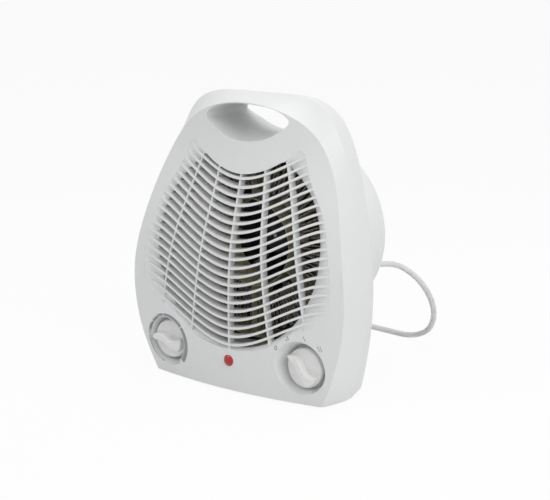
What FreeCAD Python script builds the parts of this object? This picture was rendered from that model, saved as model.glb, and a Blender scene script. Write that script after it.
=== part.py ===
import FreeCAD, Part
import math
import os
from FreeCAD import Placement, Rotation, Vector

# Upright fan heater. Building frame: X to the right seen from the front, Y from the front corners
# of the base towards the back, Z up from the underside of the casing. Every object is then shifted
# so that the origin is on the floor below the middle of the body.

doc = FreeCAD.newDocument("FanHeater")
sheet = doc.addObject("Spreadsheet::Sheet", "Sizes")

SIZES = [
    # casing
    ("casing_height", 250.0),
    ("casing_width", 212.4),
    ("parting_depth", 35.0),
    ("middle_depth", 56.45),
    ("rear_depth", 85.0),
    ("wall", 2.4),
    ("face_wall", 2.6),
    ("foot_height", 2.0),
    ("drum_depth", 125.0),
    ("drum_radius", 84.5),
    ("axis_height", 123.0),
    # grille
    ("duct_bore", 84.5),
    ("collar_end", 24.0),
    ("dish_depth", 4.0),
    ("slat_thick", 2.2),
    ("slat_depth", 9.0),
    ("slat_pitch", 7.37),
    ("slat_count", 20),
    ("rib_thick", 1.7),
    ("rib_depth", 8.0),
    ("intake_radius", 56.0),
    ("intake_slot", 3.6),
    ("intake_pitch", 7.0),
    # controls
    ("knob_x", 71.7),
    ("knob_level", 31.0),
    ("knob_face", -1.0),
    ("knob_radius", 17.0),
    ("knob_depth", 7.0),
    ("recess_radius", 23.5),
    ("grip_rise", 7.0),
    ("spindle_radius", 3.0),
    ("bracket_thick", 1.0),
    ("thermostat_length", 13.0),
    ("switch_length", 15.0),
    ("lens_radius", 4.9),
    ("lens_level", 26.7),
    # air duct and heater
    ("duct_sheet", 0.6),
    ("duct_end", 79.0),
    ("mica_thick", 0.5),
    ("mica_front", 24.0),
    ("mica_width", 30.0),
    ("mica_inner", 38.0),
    ("wire_inner", 46.0),
    ("wire_outer", 77.0),
    ("wire_band", 1.2),
    ("wire_thick", 0.6),
    # fan and motor
    ("fan_radius", 76.0),
    ("fan_front", 57.0),
    ("fan_depth", 18.0),
    ("hub_radius", 15.0),
    ("shaft_radius", 2.0),
    ("spider_thick", 1.0),
    ("bridge_thick", 2.0),
    ("stack_front", 92.0),
    ("stack_length", 18.0),
    ("rotor_radius", 12.6),
    ("air_gap", 0.4),
    # fasteners, fits and lead
    ("screw_radius", 1.5),
    ("screw_head", 3.2),
    ("gap", 0.3),
    ("run_gap", 0.06),
    ("foot_radius", 7.0),
    ("lead_radius", 2.6),
    ("lead_level", 90.0),
    ("terminal_height", 12.0),
    ("coil_radius", 30.0),
    ("plug_length", 30.0),
    ("pin_radius", 2.4),
]
for row, (alias, number) in enumerate(SIZES, start=1):
    sheet.set("A%d" % row, alias)
    sheet.set("B%d" % row, "%g" % number)
    sheet.setAlias("B%d" % row, alias)
doc.recompute()


def size(alias):
    return float(sheet.get(alias))


height = size("casing_height")
half_width = size("casing_width") / 2.0
parting = size("parting_depth")
rear = size("rear_depth")
wall = size("wall")
gap = size("gap")
axis_z = size("axis_height")
foot = size("foot_height")
FRONT = Rotation(Vector(1, 0, 0), 90)
BACK = Rotation(Vector(1, 0, 0), -90)
Y_AXIS = Vector(0, 1, 0)


# ---------------------------------------------------------------- helpers

def name_it(item, label):
    item.Label = label
    return item


nodes = []


def seat(item, x="0", y="0", z="0", turn=None):
    """Put an object in the building frame; every coordinate stays tied to the size sheet."""
    if turn is not None:
        item.Placement = Placement(Vector(0, 0, 0), turn)
    item.setExpression("Placement.Base.x", x)
    item.setExpression("Placement.Base.y", "%s - Sizes.middle_depth" % y)
    item.setExpression("Placement.Base.z", "%s + Sizes.foot_height" % z)
    nodes.append(item)
    return item


def alike(label, members):
    """Identical fasteners kept together as one node."""
    for member in members:
        nodes.remove(member)
    item = doc.addObject("Part::Compound", label)
    item.Links = members
    nodes.append(item)
    return name_it(item, label)


def shaped(label, shape):
    """A free-form piece: its shape is already in the building frame."""
    item = doc.addObject("Part::Feature", label)
    item.Shape = shape
    return seat(name_it(item, label))


def sketch_on(body, plane, lines):
    sketch = body.newObject("Sketcher::SketchObject", "Outline")
    for feature in body.Origin.OriginFeatures:
        if feature.Role == plane:
            sketch.AttachmentSupport = [(feature, "")]
    sketch.MapMode = "FlatFace"
    for line in lines:
        sketch.addGeometry(line, False)
    return sketch


def polygon(points):
    ends = points[1:] + points[:1]
    return [Part.LineSegment(Vector(a[0], a[1], 0), Vector(b[0], b[1], 0)) for a, b in zip(points, ends)]


def ring(x, y, radius):
    return Part.Circle(Vector(x, y, 0), Vector(0, 0, 1), radius)


def turned(label, profile):
    """A turned piece: closed (radius, height) profile spun about its own Z axis."""
    body = doc.addObject("PartDesign::Body", label)
    sketch = sketch_on(body, "XZ_Plane", polygon(profile))
    spin = body.newObject("PartDesign::Revolution", "Turning")
    spin.Profile = sketch
    spin.ReferenceAxis = (sketch, ["V_Axis"])
    spin.Angle = 360.0
    body.Tip = spin
    sketch.Visibility = False
    return name_it(body, label)


def plate(label, lines, length, both_ways=False):
    """A plate or block: flat outline on the XY plane padded upwards by an expression."""
    body = doc.addObject("PartDesign::Body", label)
    sketch = sketch_on(body, "XY_Plane", lines)
    pad = body.newObject("PartDesign::Pad", "Thickness")
    pad.Profile = sketch
    pad.setExpression("Length", length)
    pad.Midplane = both_ways
    body.Tip = pad
    return name_it(body, label)


def pocket(body, lines, depth, level=0.0):
    """Cut an outline downwards from a level of the body."""
    sketch = sketch_on(body, "XY_Plane", lines)
    sketch.AttachmentOffset = Placement(Vector(0, 0, level), Rotation())
    cut = body.newObject("PartDesign::Pocket", "Cut")
    cut.Profile = sketch
    cut.Length = depth
    body.Tip = cut
    return body


def raised(body, lines, length, level=0.0):
    """Pad another outline upwards from a level of the body."""
    sketch = sketch_on(body, "XY_Plane", lines)
    sketch.AttachmentOffset = Placement(Vector(0, 0, level), Rotation())
    pad = body.newObject("PartDesign::Pad", "Boss")
    pad.Profile = sketch
    pad.Length = length
    body.Tip = pad
    return body


def rod(x, y0, y1, z, radius):
    return Part.makeCylinder(radius, y1 - y0, Vector(x, y0, z), Y_AXIS)


def tube(x, y0, y1, z, outer, inner):
    return rod(x, y0, y1, z, outer).cut(rod(x, y0 - 1, y1 + 1, z, inner))


def curve(points, closed=False):
    spline = Part.BSplineCurve()
    if closed:
        spline.interpolate(Points=points, PeriodicFlag=True)
    else:
        spline.interpolate(points)
    return spline


def prism(points, y0, y1):
    """Straight block with a smooth closed (x, z) outline, running along Y."""
    edge = curve([Vector(x, y0, z) for x, z in points], closed=True).toShape()
    return Part.Face(Part.Wire([edge])).extrude(Vector(0, y1 - y0, 0))


def mirrored(points):
    """Complete a right-hand half outline (bottom to top, both on the middle line)."""
    return points + [(-x, z) for x, z in reversed(points[1:-1])]


def box(x0, y0, z0, x1, y1, z1):
    return Part.makeBox(x1 - x0, y1 - y0, z1 - z0, Vector(x0, y0, z0))


# ---------------------------------------------------------------- casing form

# Right-hand half outlines (share of the half width, share of the height) at planes along Y, from
# the bottom corner up the side and over to the middle of the top.
SECTIONS = [
    (-15.0, [(0.75, 0.0), (0.99, 0.16), (1.06, 0.348), (0.985, 0.544), (0.79, 0.736),
             (0.55, 0.848), (0.4, 0.904), (0.0, 0.956)]),
    (13.0, [(0.872, 0.0), (0.977, 0.16), (1.027, 0.348), (0.972, 0.544), (0.823, 0.748),
            (0.61, 0.866), (0.44, 0.925), (0.0, 0.974)]),
    (parting, [(0.894, 0.0), (0.965, 0.16), (1.0, 0.348), (0.96, 0.544), (0.857, 0.756),
               (0.763, 0.871), (0.631, 0.954), (0.0, 1.0)]),
    (0.32 * rear + 0.68 * 51.0, [(0.82, 0.0), (0.895, 0.16), (0.925, 0.348), (0.885, 0.544),
                                 (0.79, 0.75), (0.7, 0.86), (0.575, 0.937), (0.0, 0.982)]),
    (0.93 * rear, [(0.715, 0.0), (0.775, 0.16), (0.795, 0.348), (0.76, 0.53), (0.68, 0.715),
                   (0.6, 0.815), (0.48, 0.89), (0.0, 0.935)]),
    (rear, [(0.65, 0.016), (0.7, 0.165), (0.72, 0.345), (0.69, 0.52), (0.61, 0.69),
            (0.53, 0.785), (0.42, 0.852), (0.0, 0.895)]),
]


def outline(section, inset):
    level, shares = section
    points = [Vector(a * half_width, 0, b * height) for a, b in shares]
    moved = []
    for index, point in enumerate(points):
        before = points[max(index - 1, 0)]
        after = points[min(index + 1, len(points) - 1)]
        along = after - before
        if index == len(points) - 1:
            along = Vector(-1, 0, 0)
        normal = Vector(along.z, 0, -along.x).normalize()
        shifted = point - normal * inset
        if index == 0:
            shifted = Vector(point.x - inset, 0, point.z + inset)
        moved.append(Vector(shifted.x, level, shifted.z))
    left = [Vector(-p.x, p.y, p.z) for p in reversed(moved[:-1])]
    side = curve(moved + left).toShape()
    base = Part.makeLine(left[-1], moved[0])
    return Part.Wire([side, base])


def hull(sections, inset=0.0):
    return Part.makeLoft([outline(section, inset) for section in sections], True, False)


# Front face: depth of its middle line and how quickly it curves back towards the sides.
FACE = [(-0.06, -7.5, 0.00128), (0.0, -8.3, 0.00117), (0.12, -10.3, 0.00083), (0.25, -11.1, 0.00071),
        (0.36, -10.9, 0.00069), (0.48, -8.4, 0.00075), (0.6, -1.8, 0.00084), (0.72, 6.3, 0.00103),
        (0.84, 12.2, 0.0014), (0.96, 13.4, 0.00175), (1.06, 13.6, 0.0018)]


def behind_face(shift):
    """Everything behind the curved front face, moved back by shift."""
    grid = []
    scale = 106.2 / half_width
    for share, middle, bend in FACE:
        row = []
        for step in range(-3, 4):
            x = step * half_width * 0.4
            row.append(Vector(x, middle + shift + bend * (x * scale) ** 2, share * height))
        grid.append(row)
    surface = Part.BSplineSurface()
    surface.interpolate(grid)
    return surface.toShape().extrude(Vector(0, 170.0, 0))


face_block = behind_face(0.0)

# ---------------------------------------------------------------- carrying handle hole

top_line = height * 0.97
hole_end = half_width * 0.405
hole_mid = height * 0.914


def handle_hole(level, grow, spread, drop, lift):
    """Outline of the lens-shaped hole, with shares of its half width, its depth and its height."""
    wide = hole_end * spread + grow
    low = hole_mid - (hole_mid - height * 0.845) * drop - grow
    high = hole_mid + (top_line - hole_mid) * lift + grow
    points = [(0.0, low), (0.45 * wide, low + 0.16 * (hole_mid - low)),
              (0.85 * wide, hole_mid - 0.32 * (hole_mid - low)),
              (wide, hole_mid + 0.1 * (high - hole_mid)), (0.8 * wide, high - 0.36 * (high - hole_mid)),
              (0.4 * wide, high - 0.08 * (high - hole_mid)), (0.0, high)]
    loop = [Vector(x, level, z) for x, z in mirrored(points)]
    return Part.Wire([curve(loop, closed=True).toShape()])


def handle_tunnel(grow):
    stations = [(-6.0, 1.06, 1.06, 1.06), (parting, 0.98, 0.96, 0.94), (rear + 8.0, 1.1, 1.0, 0.76)]
    outlines = [handle_hole(level, grow, *shares) for level, *shares in stations]
    return Part.makeLoft(outlines, True, False)


tunnel = handle_tunnel(0.0)
tunnel_skin = handle_tunnel(wall)

# ---------------------------------------------------------------- wavy grille

grille_top = height * 0.736
opening_half = half_width * 0.91


def wave(x):
    """Rise of a slat above its lowest point, the same curve for every slat."""
    share = min(abs(x) / opening_half, 1.1)
    return height * 0.139 * (share ** 2 * (3.05 - 2.05 * share) * 0.86 + 0.14 * share ** 2)


def wave_band(middle, thick):
    stations = [opening_half * 1.06 * step / 6.0 for step in range(-6, 7)]
    upper = [Vector(x, -20.0, middle + wave(x) + thick / 2.0) for x in stations]
    lower = [Vector(x, -20.0, middle + wave(x) - thick / 2.0) for x in stations]
    edges = [curve(upper).toShape(), Part.makeLine(upper[-1], lower[-1])]
    edges += [curve(lower).toShape(), Part.makeLine(lower[0], upper[0])]
    return Part.Face(Part.Wire(Part.__sortEdges__(edges))).extrude(Vector(0, 60.0, 0))


def rib_band(top_x, mid_x, low_x, thick):
    stations = [(top_x, height * 0.86), (mid_x, height * 0.5), (low_x, height * 0.13)]
    right = [Vector(x + thick / 2.0, -20.0, z) for x, z in stations]
    left = [Vector(x - thick / 2.0, -20.0, z) for x, z in stations]
    edges = [curve(right).toShape(), Part.makeLine(right[-1], left[-1])]
    edges += [curve(left).toShape(), Part.makeLine(left[0], right[0])]
    return Part.Face(Part.Wire(Part.__sortEdges__(edges))).extrude(Vector(0, 60.0, 0))


def dish_outline(grow):
    """Edge of the dished grille area on the face: lower tips, sides, and the panel edge on top."""
    w = half_width
    right = [(0.0, height * 0.147 - grow), (0.4 * w + 0.3 * grow, height * 0.184 - grow),
             (0.72 * w + grow, height * 0.262 - grow), (0.885 * w + grow, height * 0.31 - 0.4 * grow),
             (0.925 * w + grow, height * 0.39), (0.88 * w + grow, height * 0.52),
             (0.77 * w + grow, height * 0.65), (0.6 * w + grow, height * 0.775),
             (0.525 * w + 0.5 * grow, height * 0.832 + grow), (0.44 * w, height * 0.808 + grow),
             (0.25 * w, height * 0.762 + grow), (0.0, height * 0.738 + grow)]
    return mirrored(right)


dish = prism(dish_outline(0.0), -40.0, 40.0)
dish_floor = behind_face(size("dish_depth"))
dish_back = behind_face(size("dish_depth") + wall)
slat_back = behind_face(size("slat_depth"))
rib_front = behind_face(1.2)
rib_back = behind_face(size("rib_depth"))

count = int(size("slat_count"))
first = grille_top - 0.9 - size("slat_thick")
slats = [wave_band(first - index * size("slat_pitch"), size("slat_thick")) for index in range(count)]
duct_room = tube(0, size("collar_end") - 5.5, 60.0, axis_z, size("duct_bore") + 3.0, size("duct_bore") - 1.3)
slat_room = behind_face(0.15).cut(slat_back).common(prism(dish_outline(1.0), -40.0, 40.0)).cut(duct_room)
slat_set = [slat.common(slat_room) for slat in slats]
rib_room = rib_front.cut(rib_back).common(prism(dish_outline(1.0), -40.0, 40.0)).cut(duct_room)
thin = size("rib_thick")
ribs = [rib_band(0.0, 0.0, 0.0, thin)]
for side in (-1, 1):
    ribs.append(rib_band(side * 0.2 * half_width, side * 0.292 * half_width, side * 0.41 * half_width, thin))
    ribs.append(rib_band(side * 0.35 * half_width, side * 0.603 * half_width, side * 0.74 * half_width, thin))
rib_set = [rib.common(rib_room) for rib in ribs]

# ---------------------------------------------------------------- front shell

front_hull = hull(SECTIONS[:3]).common(face_block)
front_hollow = hull(SECTIONS[:3], wall).common(behind_face(size("face_wall")))
bore = size("duct_bore")
collar = tube(0, -20.0, size("collar_end"), axis_z, bore + wall, bore).common(front_hull)
collar = collar.common(behind_face(1.0))
dish_wall = prism(dish_outline(wall), -40.0, 40.0).common(face_block.cut(dish_back))
face_y = size("knob_face")
knob_back = face_y + size("knob_depth")
cups = []
cup_cuts = []
bosses = []
for side in (-1, 1):
    x = side * size("knob_x")
    z = size("knob_level")
    cup_end = knob_back + gap + 0.7
    rim = size("recess_radius")
    floor_radius = size("knob_radius") + 1.2
    cup_cuts.append(Part.makeCone(rim + 3.3, floor_radius, cup_end + 14.0, Vector(x, -14.0, z), Y_AXIS))
    cup_top = Vector(x, -14.0, z)
    cups.append(Part.makeCone(rim + 3.3 + wall, floor_radius + wall, cup_end + wall + 14.0, cup_top, Y_AXIS))
    for offset in (-1, 1):
        bosses.append(rod(x + offset * 14.0, cup_end, cup_end + wall + 6.0, z, 3.4))
screw_seats = [(s * 0.79 * half_width, 0.17 * height) for s in (-1, 1)]
screw_seats += [(s * 0.68 * half_width, 0.815 * height) for s in (-1, 1)]
for x, z in screw_seats:
    bosses.append(rod(x, -8.0, parting, z, 4.2))
foot_seats = [(s * 0.6 * half_width, y) for s in (-1, 1) for y in (12.0, 66.0)]

front_shell = front_hull.cut(front_hollow)
extra = [collar, dish_wall.common(front_hull)]
extra += [cup.common(front_hull) for cup in cups]
extra += [boss.common(front_hull) for boss in bosses]
extra.append(tunnel_skin.common(front_hull))
extra.append(rod(0, -12.0, 2.0, size("lens_level"), size("lens_radius") + 2.6).common(front_hull))
front_shell = front_shell.fuse(extra)
open_low = mirrored([(0.0, height * 0.02), (1.2 * half_width, height * 0.1), (1.1 * half_width, height * 0.7),
                     (0.6 * half_width, height * 0.86), (0.525 * half_width, height * 0.832),
                     (0.44 * half_width, height * 0.808), (0.25 * half_width, height * 0.762),
                     (0.0, height * 0.738)])
opening = rod(0, -25.0, size("collar_end") + 1.0, axis_z, bore).common(prism(open_low, -30.0, 30.0))
behind_panel = rod(0, -25.0, size("collar_end") + 1.0, axis_z, bore).common(behind_face(size("face_wall")))
behind_collar = rod(0, size("collar_end") - 5.5, parting + 1.0, axis_z, bore)
cuts = [opening, behind_panel, behind_collar, dish.cut(dish_floor), tunnel]
cuts += cup_cuts
for side in (-1, 1):
    x = side * size("knob_x")
    z = size("knob_level")
    cuts.append(rod(x, 0.0, 30.0, z, size("spindle_radius") + 1.8))
    for offset in (-1, 1):
        cuts.append(rod(x + offset * 14.0, knob_back + gap + 2.0, 30.0, z, size("screw_radius") - 0.05))
for x, z in screw_seats:
    cuts.append(rod(x, parting - 16.0, parting + 1.0, z, size("screw_radius") - 0.05))
for x, y in foot_seats:
    if y < parting:
        cuts.append(Part.makeCylinder(3.0 + gap, 12.0, Vector(x, y, -4.0)))
lens_y = -10.6
cuts.append(rod(0, -20.0, lens_y + 0.6, size("lens_level"), size("lens_radius") + 0.2))
cuts.append(rod(0, -20.0, 10.0, size("lens_level"), size("lens_radius") - 0.9 + gap))
front_shell = front_shell.cut(cuts)
front_shell = front_shell.fuse(slat_set + rib_set)
front_shell = front_shell.removeSplitter()
if len(front_shell.Solids) > 1:
    front_shell = max(front_shell.Solids, key=lambda solid: solid.Volume)
shaped("front_shell", front_shell)
print("front shell", front_shell.isValid(), round(front_shell.Volume / 1000.0, 1))

# ---------------------------------------------------------------- rear shell with fan drum

drum_end = size("drum_depth")
drum_r = size("drum_radius")
ledge = size("duct_end") + 1.0


def spun(profile, z):
    """Solid of revolution about the fan axis from (radius, depth) points."""
    loop = [Vector(r, y, z) for r, y in profile]
    face = Part.Face(Part.makePolygon(loop + loop[:1]))
    return face.revolve(Vector(0, 0, z), Y_AXIS, 360)


def drum(inset):
    return spun([(0, 60.0), (drum_r + 1.5 - inset, 60.0), (drum_r - inset, 95.0), (drum_r - 4.0 - inset, 108.0),
                 (drum_r - 11.5 - inset, 119.0), (drum_r - 20.5 - inset, drum_end - 0.8 - inset),
                 (drum_r - 24.5 - inset, drum_end - inset), (0, drum_end - inset)], axis_z)


lead_x = 52.0
lead_z = size("lead_level")
rear_hull = hull(SECTIONS[2:]).fuse(drum(0.0))
ahead = box(-200, -60, -50, 200, parting, 320)
below = box(-200, -60, -50, 200, 200, 0.0)
rear_hull = rear_hull.cut([ahead, below])
rear_hollow = hull([SECTIONS[2], SECTIONS[3], (SECTIONS[4][0] - wall, SECTIONS[4][1]),
                    (SECTIONS[5][0] - wall, SECTIONS[5][1])], wall)
rear_hollow = rear_hollow.fuse(drum(wall).cut(rod(0, 50.0, ledge, axis_z, 200.0)))
rear_hollow = rear_hollow.cut(box(-200, -60, -50, 200, 200, wall))
duct_pocket = rod(0, parting - 1.0, ledge, axis_z, bore)
rear_shell = rear_hull.cut(rear_hollow)
seat_ring = tube(0, ledge, ledge + 12.0, axis_z, bore + 0.5, bore - 3.0)
extra = [seat_ring, tunnel_skin.common(rear_hull)]
spider_angles = (90.0, 210.0, 330.0)
spider_radius = bore - 7.0
for angle in spider_angles:
    x = spider_radius * math.cos(math.radians(angle))
    z = axis_z + spider_radius * math.sin(math.radians(angle))
    extra.append(rod(x, ledge, ledge + 16.0, z, 4.4).common(rear_hull))
for x, z in screw_seats:
    extra.append(rod(x, parting, 90.0, z, 5.6).common(rear_hull))
extra.append(rod(lead_x, 96.0, drum_end, lead_z, 8.0))
rear_shell = rear_shell.fuse(extra)
cuts = [duct_pocket, tunnel]
slots = []
reach = size("intake_radius")
pitch = size("intake_pitch")
rows = int(reach / pitch)
for index in range(-rows, rows + 1):
    level = axis_z + index * pitch
    span = math.sqrt(max(reach ** 2 - (index * pitch) ** 2, 0.0))
    if span > 8.0:
        for x0, x1 in ((-span, -1.6), (1.6, span)):
            slots.append(box(x0, drum_end - wall - 4.0, level - size("intake_slot") / 2.0,
                             x1, drum_end + 2.0, level + size("intake_slot") / 2.0))
slot_keep = rod(lead_x, 90.0, drum_end + 4.0, lead_z, 10.0)
cuts += [slot.cut(slot_keep) for slot in slots]
screw_floor = parting + 20.0
for x, z in screw_seats:
    cuts.append(rod(x, screw_floor, 140.0, z, size("screw_head") + 0.6))
    cuts.append(rod(x, parting - 1.0, 80.0, z, size("screw_radius") + gap))
for angle in spider_angles:
    x = spider_radius * math.cos(math.radians(angle))
    z = axis_z + spider_radius * math.sin(math.radians(angle))
    cuts.append(rod(x, ledge - 1.0, ledge + 12.0, z, size("screw_radius") - 0.05))
for x, y in foot_seats:
    if y > parting:
        cuts.append(Part.makeCylinder(3.0 + gap, 12.0, Vector(x, y, -4.0)))
cuts.append(rod(lead_x, 90.0, drum_end + 2.0, lead_z, 5.2 + gap))
cuts.append(box(-16.0, 49.0, wall, 16.0, 67.0, wall + 4.0))
rear_shell = rear_shell.cut(cuts).removeSplitter()
if len(rear_shell.Solids) > 1:
    rear_shell = max(rear_shell.Solids, key=lambda solid: solid.Volume)
shaped("rear_shell", rear_shell)
print("rear shell", rear_shell.isValid(), round(rear_shell.Volume / 1000.0, 1))

# ---------------------------------------------------------------- feet, casing screws

foot_r = size("foot_radius")
for index, (x, y) in enumerate(foot_seats, start=1):
    foot_body = turned("rubber_foot_%d" % index, [(0, -foot), (foot_r - 0.6, -foot), (foot_r, -foot + 0.6),
                                                  (foot_r, 0), (3.0, 0), (3.0, wall + 0.2), (3.7, wall + 0.4),
                                                  (2.6, wall + 2.4), (0, wall + 2.4)])
    seat(foot_body, "%g" % x, "%g" % y, "0")

screw_r = size("screw_radius")
head_r = size("screw_head")


def screw(label, length):
    """Cross-head screw, head underside at its own zero, shank along -Z."""
    body = turned(label, [(0, -length), (screw_r - 0.8, -length), (screw_r, -length + 1.4), (screw_r, 0),
                          (head_r, 0), (head_r, 1.2), (head_r - 0.9, 2.1), (0, 2.1)])
    cross = polygon([(-0.35, -1.7), (0.35, -1.7), (0.35, -0.35), (1.7, -0.35), (1.7, 0.35), (0.35, 0.35),
                     (0.35, 1.7), (-0.35, 1.7), (-0.35, 0.35), (-1.7, 0.35), (-1.7, -0.35), (-0.35, -0.35)])
    return pocket(body, cross, 1.0, 2.1)


alike("casing_screws", [seat(screw("casing_screw", screw_floor - parting + 12.0), "%g" % x, "%g" % screw_floor,
                             "%g" % z, BACK) for x, z in screw_seats])

# ---------------------------------------------------------------- knobs with S-shaped grips

knob_r = size("knob_radius")
knob_deep = size("knob_depth")
spindle_r = size("spindle_radius")
rise = size("grip_rise")


def knob(label):
    """Disc with a raised S-shaped grip, axis on Z, front face at zero; bore for a D spindle."""
    body = turned(label, [(0, -knob_deep), (knob_r - 0.8, -knob_deep), (knob_r, -knob_deep + 0.8),
                          (knob_r, -1.6), (knob_r - 1.6, 0), (0, 0)])
    upper = [(-15.2, 3.4), (-9.0, 5.0), (-2.0, 2.6), (4.5, 2.4), (10.5, 5.2), (15.0, 4.2)]
    top = curve([Vector(x, y, 0) for x, y in upper])
    low = curve([Vector(-x, -y, 0) for x, y in upper])
    lines = [top, Part.LineSegment(Vector(15.0, 4.2, 0), Vector(15.2, -3.4, 0)), low,
             Part.LineSegment(Vector(-15.0, -4.2, 0), Vector(-15.2, 3.4, 0))]
    raised(body, lines, rise)
    flat = spindle_r * 0.5
    turn = math.sqrt((spindle_r + 0.05) ** 2 - flat ** 2)
    bore_arc = Part.Arc(Vector(-turn, flat, 0), Vector(0, -spindle_r - 0.05, 0), Vector(turn, flat, 0))
    bore_flat = Part.LineSegment(Vector(turn, flat, 0), Vector(-turn, flat, 0))
    sketch = sketch_on(body, "XY_Plane", [bore_arc, bore_flat])
    sketch.AttachmentOffset = Placement(Vector(0, 0, -knob_deep), Rotation())
    cut = body.newObject("PartDesign::Pocket", "Bore")
    cut.Profile = sketch
    cut.Length = knob_deep + 1.5
    cut.Reversed = True
    body.Tip = cut
    return body


seat(knob("thermostat_knob"), "-Sizes.knob_x", "Sizes.knob_face", "Sizes.knob_level", FRONT)
OFF_TURN = FRONT.multiply(Rotation(Vector(0, 0, 1), -34))
seat(knob("switch_knob"), "Sizes.knob_x", "Sizes.knob_face", "Sizes.knob_level", OFF_TURN)

cup_back = knob_back + gap + 0.7 + wall
boss_end = cup_back + 6.0


def spindle(label, tail):
    """D-ended spindle along Z: front end in the knob, tail inside the control body."""
    front = knob_deep - 1.5
    body = turned(label, [(0, -tail), (spindle_r, -tail), (spindle_r, front), (0, front)])
    flat = spindle_r * 0.5
    cutter = polygon([(-5, flat), (5, flat), (5, 6), (-5, 6)])
    return pocket(body, cutter, knob_deep, front)


def control_screw(label, x_expression):
    piece = screw(label, 6.0)
    return seat(piece, x_expression, "%g" % control_back, "Sizes.knob_level", BACK)


# Thermostat: steel bracket, moulded block, bimetal switch spring.
bracket_lines = polygon([(-19.0, -7.0), (19.0, -7.0), (19.0, 7.0), (-19.0, 7.0)])
bracket_holes = [ring(-14.0, 0, screw_r + gap), ring(14.0, 0, screw_r + gap), ring(0, 0, spindle_r + gap)]
for label, x_text in (("thermostat_bracket", "-Sizes.knob_x"), ("switch_bracket", "Sizes.knob_x")):
    bracket_plate = plate(label, bracket_lines + bracket_holes, "Sizes.bracket_thick")
    seat(bracket_plate, x_text, "%g" % boss_end, "Sizes.knob_level", BACK)
block = plate("thermostat_block", polygon([(-9.5, -8.0), (9.5, -8.0), (9.5, 8.0), (-9.5, 8.0)])
              + [ring(0, 0, spindle_r + size("run_gap"))], "Sizes.thermostat_length")
control_back = boss_end + size("bracket_thick")
seat(block, "-Sizes.knob_x", "%g" % control_back, "Sizes.knob_level", BACK)
arm = plate("bimetal_arm", polygon([(-8.0, -2.5), (8.0, -2.5), (8.0, 2.5), (-8.0, 2.5)]), "Sizes.duct_sheet")
seat(arm, "-Sizes.knob_x", "%g + Sizes.thermostat_length" % control_back, "Sizes.knob_level", BACK)
seat(spindle("thermostat_spindle", 17.0), "-Sizes.knob_x", "%g" % knob_back, "Sizes.knob_level", FRONT)

switch_r = 9.6
switch_rings = [ring(0, 0, switch_r), ring(0, 0, spindle_r + size("run_gap"))]
body = plate("rotary_switch_body", switch_rings, "Sizes.switch_length")
for angle in (45, 135, 225, 315):
    a = math.radians(angle)
    cx, cy = (switch_r - 2.0) * math.cos(a), (switch_r - 2.0) * math.sin(a)
    tab = polygon([(cx - 1.6, cy - 0.4), (cx + 1.6, cy - 0.4), (cx + 1.6, cy + 0.4), (cx - 1.6, cy + 0.4)])
    raised(body, tab, 6.0, size("switch_length"))
seat(body, "Sizes.knob_x", "%g" % control_back, "Sizes.knob_level", BACK)
seat(spindle("switch_spindle", 19.0), "Sizes.knob_x", "%g" % knob_back, "Sizes.knob_level", OFF_TURN)
alike("control_screws", [control_screw("control_screw", "%s + %g" % (text, offset))
                         for text in ("-Sizes.knob_x", "Sizes.knob_x") for offset in (-14, 14)])

# ---------------------------------------------------------------- pilot lamp

lens_r = size("lens_radius")
lens = turned("pilot_lens", [(0, 1.6), (2.4, 1.35), (4.0, 0.7), (lens_r, 0), (lens_r, -0.6), (lens_r - 0.9, -0.6),
                             (lens_r - 0.9, -11.0), (2.9, -11.0), (2.9, -1.0), (0, -1.0)])
seat(lens, "0", "%g" % lens_y, "Sizes.lens_level", FRONT)
lamp = turned("neon_lamp", [(0, -3.0), (1.2, -3.4), (2.6, -4.6), (2.6, -15.0), (0, -15.0)])
seat(lamp, "0", "%g" % lens_y, "Sizes.lens_level", FRONT)

# ---------------------------------------------------------------- air duct, mica wheel, heating wires

sheet_t = size("duct_sheet")
duct_out = bore - gap
duct_start = size("collar_end") - 5.0
duct_end = size("duct_end")
duct = turned("air_duct", [(duct_out - sheet_t, 0), (duct_out, 0), (duct_out, duct_end - duct_start),
                           (duct_out - sheet_t, duct_end - duct_start)])
seat(duct, "0", "%g" % duct_start, "Sizes.axis_height", BACK)

mica_t = size("mica_thick")
mica_y = size("mica_front")
mica_w = size("mica_width")
mica_out = duct_out - sheet_t - gap
mica_in = size("mica_inner")
outer = turned("mica_outer_ring", [(mica_out - mica_t, 0), (mica_out, 0), (mica_out, mica_w),
                                   (mica_out - mica_t, mica_w)])
seat(outer, "0", "Sizes.mica_front", "Sizes.axis_height", BACK)
inner = turned("mica_inner_ring", [(mica_in - mica_t, 0), (mica_in, 0), (mica_in, mica_w),
                                   (mica_in - mica_t, mica_w)])
seat(inner, "0", "Sizes.mica_front", "Sizes.axis_height", BACK)

wire_t = size("wire_thick")
wire_in = size("wire_inner")
wire_out = size("wire_outer")
wire_levels = (7.0, 20.0)
plate_start = mica_in + gap
plate_stop = mica_out - mica_t - gap
notches = [(wire_in - 1.4, wire_out + 1.4, level) for level in wire_levels]


def mica_plate(label, angle):
    """Radial plate with a slot for each wire layer."""
    lines = polygon([(plate_start, 0), (plate_stop, 0), (plate_stop, mica_w), (plate_start, mica_w)])
    for low, high, level in notches:
        lines += polygon([(low, level), (high, level), (high, level + wire_t + 1.6), (low, level + wire_t + 1.6)])
    body = plate(label, lines, "Sizes.mica_thick", both_ways=True)
    turn = Rotation(Vector(0, 1, 0), -angle)
    return seat(body, "0", "Sizes.mica_front", "Sizes.axis_height", turn)


for index in range(6):
    mica_plate("mica_plate_%d" % (index + 1), 30.0 + 60.0 * index)

teeth = 54
band = size("wire_band")


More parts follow.
